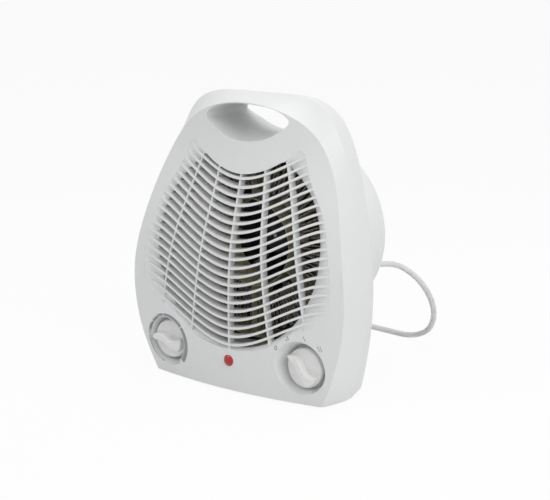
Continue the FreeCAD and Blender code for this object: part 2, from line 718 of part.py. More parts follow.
def offset_loop(path, half):
    """Outline of a strip of the given half width laid along an open path."""
    left = []
    right = []
    last = len(path) - 1
    for index, point in enumerate(path):
        before = point - path[max(index - 1, 0)]
        after = path[min(index + 1, last)] - point
        if index == 0:
            before = after
        if index == last:
            after = before
        before = Vector(before).normalize()
        after = Vector(after).normalize()
        mitre = Vector(-before.y - after.y, before.x + after.x, 0)
        reach_out = mitre * (2.0 * half / mitre.dot(mitre))
        left.append(point + reach_out)
        right.append(point - reach_out)
    return left + list(reversed(right))


def zigzag(label, level, start):
    """Flat resistance strip folded in and out around the wheel between the mica slots."""
    path = []
    step = 180.0 / teeth
    for index in range(2 * teeth - 2):
        radius = wire_out if index % 2 else wire_in
        turn = math.degrees((1.3 if index % 2 else 0.75) / radius)
        for angle in (start + index * step - turn, start + index * step + turn):
            a = math.radians(angle)
            path.append(Vector(radius * math.cos(a), radius * math.sin(a), 0))
    loop = offset_loop(path, band / 2.0)
    body = plate(label, polygon([(p.x, p.y) for p in loop]), "Sizes.wire_thick")
    return seat(body, "0", "Sizes.mica_front + %g" % level, "Sizes.axis_height", BACK)


zigzag("heating_wire_front", wire_levels[0], 91.7)
zigzag("heating_wire_rear", wire_levels[1], 91.7)

# Safety parts inside the mica wheel.
cutout = turned("thermal_cutout", [(0, 0), (6.5, 0), (6.5, 1.2), (5.6, 1.2), (5.6, 5.5), (3.0, 5.5), (3.0, 6.1),
                                   (0, 6.1)])
cutout_turn = Rotation(Vector(1, 0, 0), 180)
inside_mica = mica_in - mica_t
cutout_drop = inside_mica - math.sqrt(inside_mica ** 2 - 6.5 ** 2)
cutout_rise = inside_mica - cutout_drop - 0.05
seat(cutout, "0", "Sizes.mica_front + 17", "Sizes.axis_height + %g" % cutout_rise, cutout_turn)
fuse_r = 1.9
fuse = turned("thermal_fuse", [(0, -9.0), (0.5, -9.0), (0.5, -5.5), (fuse_r, -5.0), (fuse_r, 5.0), (0.5, 5.5),
                               (0.5, 9.0), (0, 9.0)])
seat(fuse, "0", "Sizes.mica_front + 15", "Sizes.axis_height - %g" % (inside_mica - fuse_r - 0.25),
     Rotation(Vector(1, 0, 0), 90))

# ---------------------------------------------------------------- motor spider

arm_half = 5.5
spider_outer = bore - gap
hole_r = screw_r + gap
spider_rim = [ring(0, 0, spider_outer), ring(0, 0, spider_outer - 2.2)]
spider = plate("motor_spider", spider_rim, "Sizes.spider_thick")
arms = []
for angle in spider_angles:
    a = math.radians(-angle)
    along = Vector(math.cos(a), math.sin(a), 0)
    across = Vector(-along.y, along.x, 0)
    corners = [along * 22.0 + across * arm_half, along * (spider_outer - 1.6) + across * arm_half,
               along * (spider_outer - 1.6) - across * arm_half, along * 22.0 - across * arm_half]
    raised(spider, polygon([(p.x, p.y) for p in corners]), 1.0)
raised(spider, [ring(0, 0, 30.0)], 1.0)
spider_cuts = [ring(0, 0, 6.4)]
for angle in spider_angles:
    a = math.radians(-angle)
    spider_cuts.append(ring(spider_radius * math.cos(a), spider_radius * math.sin(a), hole_r))
motor_hole = 24.0
for side in (-1, 1):
    spider_cuts.append(ring(side * motor_hole, 0, hole_r))
spider_hole = pocket(spider, spider_cuts, 3.0, 2.0)
seat(spider, "0", "Sizes.duct_end", "Sizes.axis_height", BACK)
spider_screws = []
for angle in spider_angles:
    a = math.radians(angle)
    spider_screws.append(seat(screw("spider_screw", 9.0), "%g" % (spider_radius * math.cos(a)), "Sizes.duct_end",
                              "Sizes.axis_height + %g" % (spider_radius * math.sin(a)), FRONT))
alike("spider_screws", spider_screws)

# ---------------------------------------------------------------- motor

stack_y = size("stack_front")
stack_l = size("stack_length")
rotor_r = size("rotor_radius")
stator_bore = rotor_r + size("air_gap")
core = 7.0
stator = plate("stator_laminations", polygon([(-28, -19), (28, -19), (28, 17), (19, 17), (19, 45), (-19, 45),
                                              (-19, 17), (-28, 17)])
               + polygon([(-core - 4, 17.5), (core + 4, 17.5), (core + 4, 35), (-core - 4, 35)])
               + [ring(0, 0, stator_bore), ring(-motor_hole, 0, hole_r), ring(motor_hole, 0, hole_r)],
               "Sizes.stack_length")
seat(stator, "0", "Sizes.stack_front", "Sizes.axis_height", BACK)
coil_low = stack_y - 5.0
coil_piece = Part.makeBox(21.6, stack_l + 10.0, 23.0, Vector(-10.8, coil_low, axis_z - 51.0))
coil_core = Part.makeBox(40.0, stack_l, 10.0, Vector(-20.0, stack_y, axis_z - 45.0))
coil_corners = [edge for edge in coil_piece.Edges if abs(edge.Length - 23.0) < 0.01]
shaped("motor_coil", coil_piece.makeFillet(3.0, coil_corners).cut(coil_core))
rotor = turned("motor_rotor", [(2.0, 0), (rotor_r, 0), (rotor_r, stack_l), (2.0, stack_l)])
seat(rotor, "0", "Sizes.stack_front", "Sizes.axis_height", BACK)
shaft_r = size("shaft_radius")
fan_y = size("fan_front")
shaft_end = stack_y + stack_l + 10.0
shaft = turned("motor_shaft", [(0, 0), (shaft_r - 0.4, 0), (shaft_r, 0.4), (shaft_r, shaft_end - fan_y - 0.4),
                               (shaft_r - 0.4, shaft_end - fan_y), (0, shaft_end - fan_y)])
seat(shaft, "0", "Sizes.fan_front", "Sizes.axis_height", BACK)


def bracket(label, base, turn):
    """Pressed bearing bracket: two feet on the stack and a raised bridge with the bearing bush seat."""
    high = 8.0
    thick = size("bridge_thick")
    body = plate(label, polygon([(-28, -6), (28, -6), (28, 6), (-28, 6)]), "Sizes.bridge_thick")
    raised(body, polygon([(-19, -6), (-17, -6), (-17, 6), (-19, 6)]), high, thick)
    raised(body, polygon([(17, -6), (19, -6), (19, 6), (17, 6)]), high, thick)
    raised(body, polygon([(-19, -6), (19, -6), (19, 6), (-19, 6)]), thick, high)
    pocket(body, polygon([(-17, -7), (17, -7), (17, 7), (-17, 7)]), high, high)
    pocket(body, [ring(0, 0, 5.0), ring(-motor_hole, 0, hole_r), ring(motor_hole, 0, hole_r)], 14.0, high + thick)
    return seat(body, "0", base, "Sizes.axis_height", turn)


bracket("motor_bracket_front", "Sizes.stack_front", FRONT)
bracket("motor_bracket_rear", "Sizes.stack_front + Sizes.stack_length", BACK)
bush_profile = [(shaft_r + size("run_gap"), -1.0), (5.0, -1.0), (5.0, 1.0), (shaft_r + size("run_gap"), 1.0)]
seat(turned("bearing_bush_front", bush_profile), "0", "Sizes.stack_front - 9", "Sizes.axis_height", BACK)
seat(turned("bearing_bush_rear", bush_profile), "0", "Sizes.stack_front + Sizes.stack_length + 9",
     "Sizes.axis_height", BACK)
post_length = stack_y - 2.0 - (duct_end + 1.0)
spacers = []
bolts = []
nuts = []
for side in (-1, 1):
    post = turned("motor_spacer", [(hole_r, 0), (3.6, 0), (3.6, post_length), (hole_r, post_length)])
    spacers.append(seat(post, "%g" % (side * motor_hole), "Sizes.duct_end + 1", "Sizes.axis_height", BACK))
    bolt = screw("motor_bolt", stack_y + stack_l + 4.5 - duct_end)
    bolts.append(seat(bolt, "%g" % (side * motor_hole), "Sizes.duct_end", "Sizes.axis_height", FRONT))
    nut = turned("motor_nut", [(screw_r, 0), (2.9, 0), (2.9, 2.2), (screw_r, 2.2)])
    nuts.append(seat(nut, "%g" % (side * motor_hole), "Sizes.stack_front + Sizes.stack_length + 2",
                     "Sizes.axis_height", BACK))
alike("motor_spacers", spacers)
alike("motor_bolts", bolts)
alike("motor_nuts", nuts)

# ---------------------------------------------------------------- axial fan

hub_r = size("hub_radius")
fan_r = size("fan_radius")
fan_w = size("fan_depth")
hub = Part.makeCylinder(hub_r, fan_w - 4.0, Vector(0, 0, 2.0))
hub = hub.cut(Part.makeCylinder(hub_r - 1.8, fan_w - 6.0, Vector(0, 0, 4.0)))
hub = hub.fuse(Part.makeCylinder(4.5, fan_w - 4.0, Vector(0, 0, 2.0)))
rim_cut = Part.makeCylinder(fan_r, 60.0, Vector(0, 0, -20.0))
hub_cut = Part.makeCylinder(hub_r - 0.8, 60.0, Vector(0, 0, -20.0))
blades = []
for index in range(7):
    root = Part.makePolygon([Vector(hub_r - 3.0, -9.5, -8.0), Vector(hub_r - 3.0, 9.5, 8.0),
                             Vector(hub_r - 3.0, 9.9, 6.8), Vector(hub_r - 3.0, -9.1, -9.2),
                             Vector(hub_r - 3.0, -9.5, -8.0)])
    tip = Part.makePolygon([Vector(fan_r + 4.0, -25.0, -7.6), Vector(fan_r + 4.0, 25.0, 8.4),
                            Vector(fan_r + 4.0, 25.4, 7.2), Vector(fan_r + 4.0, -24.6, -8.8),
                            Vector(fan_r + 4.0, -25.0, -7.6)])
    blade = Part.makeLoft([root, tip], True, True).common(rim_cut).cut(hub_cut)
    blade = blade.common(Part.makeCylinder(fan_r + 5, fan_w - 1.0, Vector(0, 0, -fan_w / 2.0)))
    blade.translate(Vector(0, 0, fan_w / 2.0))
    blade.rotate(Vector(0, 0, 0), Vector(0, 0, 1), index * 360.0 / 7.0)
    blades.append(blade)
impeller = hub.fuse(blades).cut(Part.makeCylinder(shaft_r, 60.0, Vector(0, 0, -20.0)))
impeller_item = doc.addObject("Part::Feature", "fan_impeller")
impeller_item.Shape = impeller
seat(name_it(impeller_item, "fan_impeller"), "0", "Sizes.fan_front", "Sizes.axis_height", BACK)

# ---------------------------------------------------------------- lead, clamp and terminals

lead_r = size("lead_radius")
bush_len = 17.0
relief = turned("cord_relief", [(lead_r, -26.0), (5.2, -26.0), (5.2, 0), (7.4, 0), (7.4, 2.0), (6.2, 3.0),
                                (lead_r + 1.0, bush_len), (lead_r, bush_len)])
seat(relief, "%g" % lead_x, "Sizes.drum_depth", "%g" % lead_z, BACK)
floor_z = lead_r - foot
ROUTE = [(lead_x, 99.0, lead_z), (lead_x, 158.0, lead_z), (76.0, 174.0, 74.0), (86.0, 189.0, 45.0),
         (75.0, 204.0, 16.0), (46.0, 217.0, floor_z), (12.0, 222.0, floor_z), (-22.0, 225.0, floor_z),
         (-56.0, 222.0, floor_z)]


def lead_path(points):
    """Straight runs joined by tangent arcs."""
    corners = [Vector(*point) for point in points]
    edges = []
    start = corners[0]
    total = 0.0
    for index in range(1, len(corners) - 1):
        into = corners[index] - corners[index - 1]
        away = corners[index + 1] - corners[index]
        half_turn = into.getAngle(away) / 2.0
        back_off = 0.45 * min(into.Length, away.Length)
        radius = back_off / math.tan(half_turn)
        print("lead arc", index, "turn", round(math.degrees(half_turn) * 2.0), "radius", round(radius))
        enter = corners[index] - Vector(into).normalize() * back_off
        leave = corners[index] + Vector(away).normalize() * back_off
        towards = (enter + leave) * 0.5 - corners[index]
        centre_gap = math.hypot(radius, back_off)
        middle = corners[index] + Vector(towards).normalize() * (centre_gap - radius)
        edges.append(Part.LineSegment(start, enter).toShape())
        edges.append(Part.Arc(enter, middle, leave).toShape())
        total += (enter - start).Length + radius * half_turn * 2.0
        start = leave
    edges.append(Part.LineSegment(start, corners[-1]).toShape())
    total += (corners[-1] - start).Length
    print("lead length", round(total))
    return Part.Wire(edges), total


path, lead_length = lead_path(ROUTE)
lead_start = Part.Wire([Part.makeCircle(lead_r, Vector(*ROUTE[0]), Vector(*ROUTE[1]) - Vector(*ROUTE[0]))])
lead_tube = path.makePipeShell([lead_start], True, False)
print("lead volume share", round(lead_tube.Volume / (math.pi * lead_r ** 2 * lead_length), 4))
shaped("supply_lead", lead_tube)

terminal_lines = polygon([(-15, -8), (15, -8), (15, 8), (-15, 8)])
terminals = plate("terminal_block", terminal_lines, "Sizes.terminal_height")
for offset in (-9, 0, 9):
    pocket(terminals, [ring(offset, 0, 2.6)], 6.0, size("terminal_height"))
seat(terminals, "0", "58", "Sizes.wall")

coil_r = size("coil_radius")
coil_x = -72.0
coil_y = 190.0
half_band = 3.25 * lead_r
tall = 4.5 * lead_r
turn_edge = 2.4
coil_in = coil_r - half_band
coil_out = coil_r + half_band
bundle = turned("lead_coil", [(coil_in, turn_edge), (coil_in + turn_edge, 0), (coil_out - turn_edge, 0),
                              (coil_out, turn_edge), (coil_out, tall - turn_edge), (coil_out - turn_edge, tall),
                              (coil_in + turn_edge, tall), (coil_in, tall - turn_edge)])
seat(bundle, "%g" % coil_x, "%g" % coil_y, "-Sizes.foot_height")


def stadium(width, depth):
    side = (width - depth) / 2.0
    r = depth / 2.0
    return [Part.LineSegment(Vector(-side, -r, 0), Vector(side, -r, 0)),
            Part.Arc(Vector(side, -r, 0), Vector(side + r, 0, 0), Vector(side, r, 0)),
            Part.LineSegment(Vector(side, r, 0), Vector(-side, r, 0)),
            Part.Arc(Vector(-side, r, 0), Vector(-side - r, 0, 0), Vector(-side, -r, 0))]


plug_long = size("plug_length")
plug_z = 13.0 - foot
plug_x = coil_x - coil_r - half_band - 16.2
plug = plate("mains_plug", stadium(36.0, 26.0), "Sizes.plug_length")
raised(plug, stadium(26.0, 20.0), 7.0, plug_long)
raised(plug, [ring(0, 0, 4.6)], 10.0, plug_long + 7.0)
plug_turn = Rotation(Vector(0, 0, 1), Vector(1, 0, 0)).multiply(Rotation(Vector(0, 0, 1), 90))
seat(plug, "%g" % (plug_x - plug_long), "%g" % coil_y, "%g" % plug_z, plug_turn)
pin_r = size("pin_radius")
for side, word in ((-1, "left"), (1, "right")):
    pin = turned("plug_pin_%s" % word, [(0, 0), (pin_r, 0), (pin_r, 16.8), (pin_r - 1.4, 19.0), (0, 19.0)])
    away = Rotation(Vector(0, 0, 1), Vector(-1, 0, 0))
    seat(pin, "%g" % (plug_x - plug_long), "%g" % (coil_y + side * 9.5), "%g" % plug_z, away)

# ---------------------------------------------------------------- check and write

doc.recompute()
os.makedirs("parts", exist_ok=True)
for item in doc.Objects:
    if "Invalid" in item.State or "Error" in item.State:
        raise RuntimeError("%s did not compute" % item.Label)
for item in nodes:
    shape = item.Shape
    if shape.isNull() or not shape.isValid():
        raise RuntimeError("%s has no valid shape" % item.Label)
    if len(shape.Solids) != 1 and item.TypeId != "Part::Compound":
        raise RuntimeError("%s has %d solids" % (item.Label, len(shape.Solids)))
    shape.exportStep("parts/%s.step" % item.Label)
print("wrote", len(nodes), "parts")
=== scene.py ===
import bpy
import bmesh
import math
from mathutils import Vector, Matrix
from mathutils.bvhtree import BVHTree


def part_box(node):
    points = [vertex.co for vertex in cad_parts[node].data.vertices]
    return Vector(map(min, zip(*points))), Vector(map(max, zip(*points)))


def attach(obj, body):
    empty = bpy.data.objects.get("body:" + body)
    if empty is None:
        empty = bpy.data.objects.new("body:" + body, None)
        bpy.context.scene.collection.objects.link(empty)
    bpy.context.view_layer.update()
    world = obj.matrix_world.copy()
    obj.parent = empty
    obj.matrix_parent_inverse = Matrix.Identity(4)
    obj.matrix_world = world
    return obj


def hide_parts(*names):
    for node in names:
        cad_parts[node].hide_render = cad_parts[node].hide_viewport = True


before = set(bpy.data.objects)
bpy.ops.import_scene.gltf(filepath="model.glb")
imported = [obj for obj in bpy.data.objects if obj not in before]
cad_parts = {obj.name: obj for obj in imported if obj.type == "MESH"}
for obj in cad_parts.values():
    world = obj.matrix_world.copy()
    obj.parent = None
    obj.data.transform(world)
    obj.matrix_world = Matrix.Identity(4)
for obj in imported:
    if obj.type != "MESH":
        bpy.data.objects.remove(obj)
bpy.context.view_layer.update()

# ---------------------------------------------------------------------------
# Camera. A short telephoto view from the right front, a little above the heater, aimed at the
# middle of the casing.
body_middle = 0.05645
azimuth = math.radians(36.106)
elevation = math.radians(13.227)
aim = Vector((0.0, 0.06 - body_middle, 0.127))
toward = Vector((math.sin(azimuth) * math.cos(elevation), -math.cos(azimuth) * math.cos(elevation),
                 math.sin(elevation)))
side = Vector((math.cos(azimuth), math.sin(azimuth), 0.0))
rise = toward.cross(side)
camera_data = bpy.data.cameras.new("camera")
camera_data.sensor_width = 36.0
camera_data.lens = 91.64
camera_data.clip_end = 20.0
camera = bpy.data.objects.new("camera", camera_data)
bpy.context.scene.collection.objects.link(camera)
camera.location = aim + toward * 1.219263 - side * 0.001938 - rise * 0.015072
camera.rotation_euler = toward.to_track_quat("Z", "Y").to_euler()
bpy.context.scene.camera = camera
bpy.context.scene.view_settings.view_transform = "Standard"

# ---------------------------------------------------------------------------
# Studio. Three soft boxes over a sheet of white paper. Paper and surroundings are white to the
# camera and in reflections, and the paper keeps a soft shadow.


def seen_directly(tree):
    """1 where a camera, glossy or transmission ray meets the surface."""
    rays = tree.nodes.new("ShaderNodeLightPath")
    first = tree.nodes.new("ShaderNodeMath")
    first.operation = "MAXIMUM"
    second = tree.nodes.new("ShaderNodeMath")
    second.operation = "MAXIMUM"
    tree.links.new(rays.outputs["Is Camera Ray"], first.inputs[0])
    tree.links.new(rays.outputs["Is Glossy Ray"], first.inputs[1])
    tree.links.new(first.outputs[0], second.inputs[0])
    tree.links.new(rays.outputs["Is Transmission Ray"], second.inputs[1])
    return second.outputs[0]


world = bpy.data.worlds.new("studio")
bpy.context.scene.world = world
world.use_nodes = True
room = world.node_tree
room_light = room.nodes["Background"]
room_light.inputs["Color"].default_value = (0.97, 0.98, 1.0, 1.0)
room_light.inputs["Strength"].default_value = 0.36
room_white = room.nodes.new("ShaderNodeBackground")
room_white.inputs["Color"].default_value = (1.0, 1.0, 1.0, 1.0)
room_mix = room.nodes.new("ShaderNodeMixShader")
room.links.new(seen_directly(room), room_mix.inputs[0])
room.links.new(room_light.outputs[0], room_mix.inputs[1])
room.links.new(room_white.outputs[0], room_mix.inputs[2])
room.links.new(room_mix.outputs[0], room.nodes["World Output"].inputs["Surface"])


lit_middle = Vector((0.0, 0.0, 0.12))


def soft_box(name, place, width, height, watts):
    """Rectangular area light that faces the middle of the heater."""
    data = bpy.data.lights.new(name, "AREA")
    data.shape = "RECTANGLE"
    data.size = width
    data.size_y = height
    data.energy = watts
    lamp = bpy.data.objects.new(name, data)
    bpy.context.scene.collection.objects.link(lamp)
    lamp.location = place
    lamp.rotation_euler = (Vector(place) - lit_middle).to_track_quat("Z", "Y").to_euler()


soft_box("left_soft_box", (-0.75, -1.15, 1.25), 0.9, 0.9, 6.5)
soft_box("right_soft_box", (1.4, -0.45, 0.85), 0.9, 1.1, 10.0)
soft_box("top_soft_box", (0.15, 0.2, 1.5), 1.1, 1.1, 8.5)

paper_mesh = bpy.data.meshes.new("paper_floor")
bm = bmesh.new()
bmesh.ops.create_grid(bm, x_segments=1, y_segments=1, size=6.0)
bm.to_mesh(paper_mesh)
bm.free()
paper = bpy.data.objects.new("paper_floor", paper_mesh)
bpy.context.scene.collection.objects.link(paper)
paper_finish = bpy.data.materials.new("white_paper")
paper_finish.use_nodes = True
tree = paper_finish.node_tree
sheet = tree.nodes["Principled BSDF"]
sheet.inputs["Base Color"].default_value = (0.86, 0.86, 0.865, 1.0)
sheet.inputs["Roughness"].default_value = 0.9
sheet.inputs["Specular IOR Level"].default_value = 0.1
glow = tree.nodes.new("ShaderNodeEmission")
glow_mix = tree.nodes.new("ShaderNodeMixShader")
share = tree.nodes.new("ShaderNodeMath")
share.operation = "MULTIPLY"
share.inputs[1].default_value = 0.93
tree.links.new(seen_directly(tree), share.inputs[0])
tree.links.new(share.outputs[0], glow_mix.inputs[0])
tree.links.new(sheet.outputs[0], glow_mix.inputs[1])
tree.links.new(glow.outputs[0], glow_mix.inputs[2])
tree.links.new(glow_mix.outputs[0], tree.nodes["Material Output"].inputs["Surface"])
paper_mesh.materials.append(paper_finish)

# ---------------------------------------------------------------------------
# Supply lead. Light grey round flexible cord with a PVC sheath, moulded into the bush on the fan
# drum. It drops to the floor behind the heater, and the rest is wound in a small coil of six turns.
lead_radius = 0.0026
foot_height = 0.002
lead_route = [(0.052, 0.099, 0.090), (0.052, 0.158, 0.090), (0.076, 0.174, 0.074), (0.086, 0.189, 0.045),
              (0.075, 0.204, 0.016), (0.046, 0.217, 0.0006), (0.012, 0.222, 0.0006), (-0.022, 0.225, 0.0006),
              (-0.056, 0.222, 0.0006)]
lead_points = [Vector((x, y - body_middle, z + foot_height)) for x, y, z in lead_route]
coil_centre = Vector((-0.072, 0.190 - body_middle, 0.0))
pitch = lead_radius * 2.02
low_turn = lead_radius
high_turn = lead_radius * 2.85
coil_radius = 0.0300
coil_turns = [(coil_radius + pitch, low_turn), (coil_radius, low_turn), (coil_radius - pitch, low_turn),
              (coil_radius - pitch / 2.0, high_turn), (coil_radius + pitch / 2.0, high_turn),
              (coil_radius + pitch * 1.15, high_turn * 0.99)]
per_turn = 14
step_over = 0.7
angle = math.radians(80.0)
for number, (radius, level) in enumerate(coil_turns):
    following = coil_turns[min(number + 1, len(coil_turns) - 1)]
    for step in range(per_turn):
        change = max(0.0, (step / per_turn - step_over) / 0.3)
        reach = radius + (following[0] - radius) * change
        height = level + (following[1] - level) * change
        angle += 2.0 * math.pi / per_turn
        along = Vector((reach * math.cos(angle), reach * math.sin(angle), height))
        lead_points.append(coil_centre + along)

cord_curve = bpy.data.curves.new("supply_cord", "CURVE")
cord_curve.dimensions = "3D"
cord_curve.resolution_u = 8
cord_curve.bevel_depth = lead_radius
cord_curve.bevel_resolution = 5
cord_curve.use_fill_caps = True
spline = cord_curve.splines.new("NURBS")
spline.points.add(len(lead_points) - 1)
for point, place in zip(spline.points, lead_points):
    point.co = (place.x, place.y, place.z, 1.0)
spline.order_u = 3
spline.use_endpoint_u = True
supply_cord = bpy.data.objects.new("supply_cord", cord_curve)
bpy.context.scene.collection.objects.link(supply_cord)


def new_finish(name, colour, roughness):
    """Node material; returns it with its tree and its shader."""
    finish = bpy.data.materials.new(name)
    finish.use_nodes = True
    shader = finish.node_tree.nodes["Principled BSDF"]
    shader.inputs["Base Color"].default_value = (*colour, 1.0)
    shader.inputs["Roughness"].default_value = roughness
    return finish, finish.node_tree, shader


def grain(tree, size, detail=3.0, stretch=(1.0, 1.0, 1.0)):
    """Cloudy noise with grains of the given size in metres, longer where stretch is small."""
    place = tree.nodes.new("ShaderNodeTexCoord")
    lay = tree.nodes.new("ShaderNodeMapping")
    lay.inputs["Scale"].default_value = stretch
    noise = tree.nodes.new("ShaderNodeTexNoise")
    noise.inputs["Scale"].default_value = 1.0 / size
    noise.inputs["Detail"].default_value = detail
    tree.links.new(place.outputs["Object"], lay.inputs["Vector"])
    tree.links.new(lay.outputs["Vector"], noise.inputs["Vector"])
    return noise.outputs["Fac"]


def tint(tree, shader, pattern, low, high, start=0.35, stop=0.65):
    """Base colour that goes from low to high over the pattern."""
    ramp = tree.nodes.new("ShaderNodeValToRGB")
    ramp.color_ramp.elements[0].position = start
    ramp.color_ramp.elements[0].color = (*low, 1.0)
    ramp.color_ramp.elements[1].position = stop
    ramp.color_ramp.elements[1].color = (*high, 1.0)
    tree.links.new(pattern, ramp.inputs["Fac"])
    tree.links.new(ramp.outputs["Color"], shader.inputs["Base Color"])
    return ramp


def vary_roughness(tree, shader, pattern, low, high):
    """Roughness that goes from low to high over the pattern."""
    spread = tree.nodes.new("ShaderNodeMapRange")
    spread.inputs["From Min"].default_value = 0.3
    spread.inputs["From Max"].default_value = 0.7
    spread.inputs["To Min"].default_value = low
    spread.inputs["To Max"].default_value = high
    tree.links.new(pattern, spread.inputs["Value"])
    tree.links.new(spread.outputs["Result"], shader.inputs["Roughness"])


def emboss(tree, shader, pattern, height):
    """Relief of the given height in metres on the surface."""
    bump = tree.nodes.new("ShaderNodeBump")
    bump.inputs["Distance"].default_value = height
    bump.inputs["Strength"].default_value = 1.0
    tree.links.new(pattern, bump.inputs["Height"])
    tree.links.new(bump.outputs["Normal"], shader.inputs["Normal"])


sheath, tree, shader = new_finish("cord_sheath", (0.68, 0.68, 0.67), 0.5)
cloud = grain(tree, 0.012)
tint(tree, shader, cloud, (0.66, 0.66, 0.65), (0.71, 0.71, 0.70))
vary_roughness(tree, shader, cloud, 0.44, 0.56)
emboss(tree, shader, grain(tree, 0.0006, 2.0), 0.00003)
cord_curve.materials.append(sheath)
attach(supply_cord, "heater")
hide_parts("supply_lead", "lead_coil")

# ---------------------------------------------------------------------------
# Casing. Two shells of white polypropylene, injection moulded with a fine spark grain, which meet
# on a plane behind the grille. The dish and slats over the outlet are tinted a little cream: a painted
# reflection of the olive mica behind them.
axis_height = 0.125
casing, tree, shader = new_finish("casing_polypropylene", (0.8, 0.8, 0.79), 0.4)
# The "heat" attribute marks the dish over the outlet, where the base colour is tinted cream as a painted
# reflection of the mica.
reflection_mask = tree.nodes.new("ShaderNodeAttribute")
reflection_mask.attribute_name = "heat"
base = tint(tree, shader, reflection_mask.outputs["Fac"], (0.785, 0.79, 0.785), (0.79, 0.785, 0.74), 0.0, 1.0)
cloud = grain(tree, 0.03)
shade = tree.nodes.new("ShaderNodeMix")
shade.data_type = "RGBA"
shade.blend_type = "MULTIPLY"
shade.inputs[0].default_value = 1.0
veil = tree.nodes.new("ShaderNodeValToRGB")
veil.color_ramp.elements[0].color = (0.965, 0.965, 0.965, 1.0)
veil.color_ramp.elements[1].color = (1.0, 1.0, 1.0, 1.0)
tree.links.new(cloud, veil.inputs["Fac"])
tree.links.new(base.outputs["Color"], shade.inputs[6])
tree.links.new(veil.outputs["Color"], shade.inputs[7])
tree.links.new(shade.outputs[2], shader.inputs["Base Color"])
vary_roughness(tree, shader, cloud, 0.34, 0.46)
emboss(tree, shader, grain(tree, 0.0009, 2.0), 0.00004)
shader.inputs["Subsurface Weight"].default_value = 0.06
shader.inputs["Subsurface Radius"].default_value = (0.003, 0.003, 0.0026)


same_point = 0.000002


def merged_copy(node, name):
    """Joined-up copy of a CAD node's mesh in a new object, which keeps the shading of its corners."""
    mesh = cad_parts[node].data.copy()
    mesh.name = name
    shading = [Vector(corner.vector) for corner in mesh.corner_normals]
    bm = bmesh.new()
    bm.from_mesh(mesh)
    kept = bm.loops.layers.float_vector.new("kept_normal")
    for face in bm.faces:
        for loop in face.loops:
            loop[kept] = shading[loop.index]
    bmesh.ops.remove_doubles(bm, verts=bm.verts, dist=same_point)
    bm.to_mesh(mesh)
    bm.free()
    mesh.materials.clear()
    copy = bpy.data.objects.new(name, mesh)
    bpy.context.scene.collection.objects.link(copy)
    return copy


def keep_shading(mesh, before):
    """Puts the kept corner shading back, turned with each face that has moved."""
    kept = [Vector(corner.vector) for corner in mesh.attributes["kept_normal"].data]
    shading = [None] * len(mesh.loops)
    for face in mesh.polygons:
        turn = before[face.index].rotation_difference(face.normal)
        for number in face.loop_indices:
            shading[number] = turn @ kept[number]
    mesh.shade_smooth()
    mesh.normals_split_custom_set(shading)
    mesh.attributes.remove(mesh.attributes["kept_normal"])


front_cover = merged_copy("front_shell", "front_cover")
rear_cover = merged_copy("rear_shell", "rear_cover")
for cover, node in ((front_cover, "front_shell"), (rear_cover, "rear_shell")):
    cover.data.materials.append(casing)
    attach(cover, "heater")
    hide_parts(node)

# The dish round the outlet starts level with the face at the tips of the slats and falls to the
# rim of the outlet, so the slats rise out of the face.
half_width = 0.1062
casing_height = 0.25
outlet_radius = 0.0845
dish_depth = 0.004
dish_band = 0.0009
tip_reach = 0.05
corner_room = 0.005
# Height share, then depth in millimetres and bow of the face at that height.
face_shape = [(-0.06, -7.5, 0.00128), (0.0, -8.3, 0.00117), (0.12, -10.3, 0.00083), (0.25, -11.1, 0.00071),
              (0.36, -10.9, 0.00069), (0.48, -8.4, 0.00075), (0.6, -1.8, 0.00084), (0.72, 6.3, 0.00103),
              (0.84, 12.2, 0.0014), (0.96, 13.4, 0.00175), (1.06, 13.6, 0.0018)]
# Right half of the dish's edge, as shares of the half width and of the height.
dish_edge = [(0.0, 0.147), (0.4, 0.184), (0.72, 0.262), (0.885, 0.31), (0.925, 0.39), (0.88, 0.52),
             (0.77, 0.65), (0.6, 0.775), (0.525, 0.832), (0.44, 0.808), (0.25, 0.762), (0.0, 0.738)]


def face_depth(x, z):
    """Depth of the bowed front face, in metres from the front corners of the base."""
    level = (z - foot_height) / casing_height
    for low, high in zip(face_shape, face_shape[1:]):
        if low[0] <= level <= high[0]:
            part = (level - low[0]) / (high[0] - low[0])
            middle = low[1] + (high[1] - low[1]) * part
            bend = low[2] + (high[2] - low[2]) * part
            return (middle + bend * (x * 1000.0) ** 2) / 1000.0
    return 0.0


edge_right = [Vector((x * half_width, z * casing_height + foot_height)) for x, z in dish_edge]
edge_loop = edge_right + [Vector((-point.x, point.y)) for point in reversed(edge_right[1:-1])]


def edge_distance(spot):
    """Shortest distance from a spot on the face to the edge of the dish."""
    nearest = 1.0
    for start, stop in zip(edge_loop, edge_loop[1:] + edge_loop[:1]):
        run = stop - start
        part = max(0.0, min(1.0, (spot - start).dot(run) / run.length_squared))
        nearest = min(nearest, (spot - start - run * part).length)
    return nearest


def on_dish(spot):
    """Whether a spot on the face lies inside the edge of the dish."""
    inside = False
    for start, stop in zip(edge_loop, edge_loop[1:] + edge_loop[:1]):
        if (start.y > spot.y) != (stop.y > spot.y):
            if spot.x < start.x + (stop.x - start.x) * (spot.y - start.y) / (stop.y - start.y):
                inside = not inside
    return inside


front_faces = [Vector(face.normal) for face in front_cover.data.polygons]
rear_faces = [Vector(face.normal) for face in rear_cover.data.polygons]
